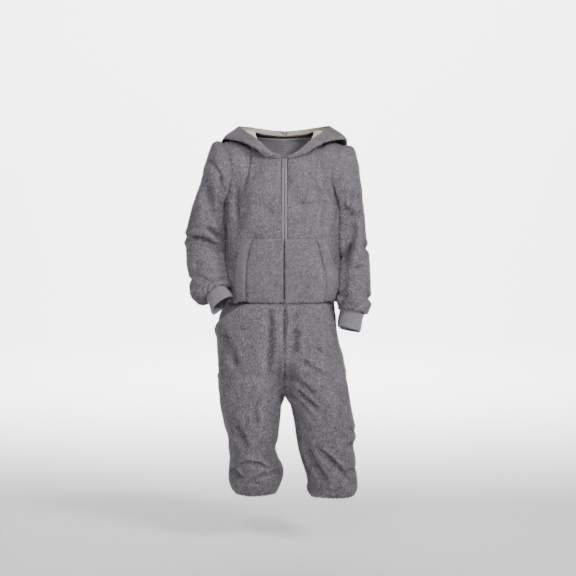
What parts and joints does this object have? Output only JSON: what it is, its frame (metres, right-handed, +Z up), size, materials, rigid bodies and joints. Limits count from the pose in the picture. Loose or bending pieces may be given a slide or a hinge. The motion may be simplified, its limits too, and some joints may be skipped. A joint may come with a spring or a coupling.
{
  "type": "onesie pajama",
  "caption": "Child's hooded plush onesie with a front zip, kangaroo pocket, rib cuffs and gathered legs, in its hollow worn form with the hood down.",
  "frame": {"origin": "base of the neck, at the height of the tops of the shoulders, midway from side to side, where the wearer's shoulders hold the garment up", "axes": "+X to the wearer's left, -Y out of the front, +Z up"},
  "size_m": [0.4824, 0.2964, 0.962],
  "materials": {
    "fleece": "short grey plush pile",
    "lining": "smooth cream knit",
    "rib": "grey rib knit",
    "tape": "grey woven zip tape",
    "slider": "satin grey paint"
  },
  "bodies": {
    "garment": {"back": "fleece", "front_left": "fleece", "front_right": "fleece", "sleeve_left": "fleece", "sleeve_right": "fleece", "leg_front_left": "fleece", "leg_front_right": "fleece", "leg_back_left": "fleece", "leg_back_right": "fleece", "hip_pocket_left": "fleece", "hip_pocket_right": "fleece", "hood_left": "fleece", "hood_right": "fleece", "pocket_left": "fleece", "pocket_right": "fleece", "pocket_band_left": "fleece", "pocket_band_right": "fleece", "hood_lining_left": "lining", "hood_lining_right": "lining", "cuff_left": "rib", "cuff_right": "rib", "zip_tape_left": "tape", "zip_tape_right": "tape", "zip_slider": "slider"},
    "pull": {"zip_pull": "slider"}
  },
  "joints": [
    {"name": "pull_swing", "type": "hinge", "parent": "garment", "child": "pull", "pos_m": [0, -0.09083, -0.05103], "axis": [-1, 0, 0], "range_deg": [0, 160]}
  ]
}
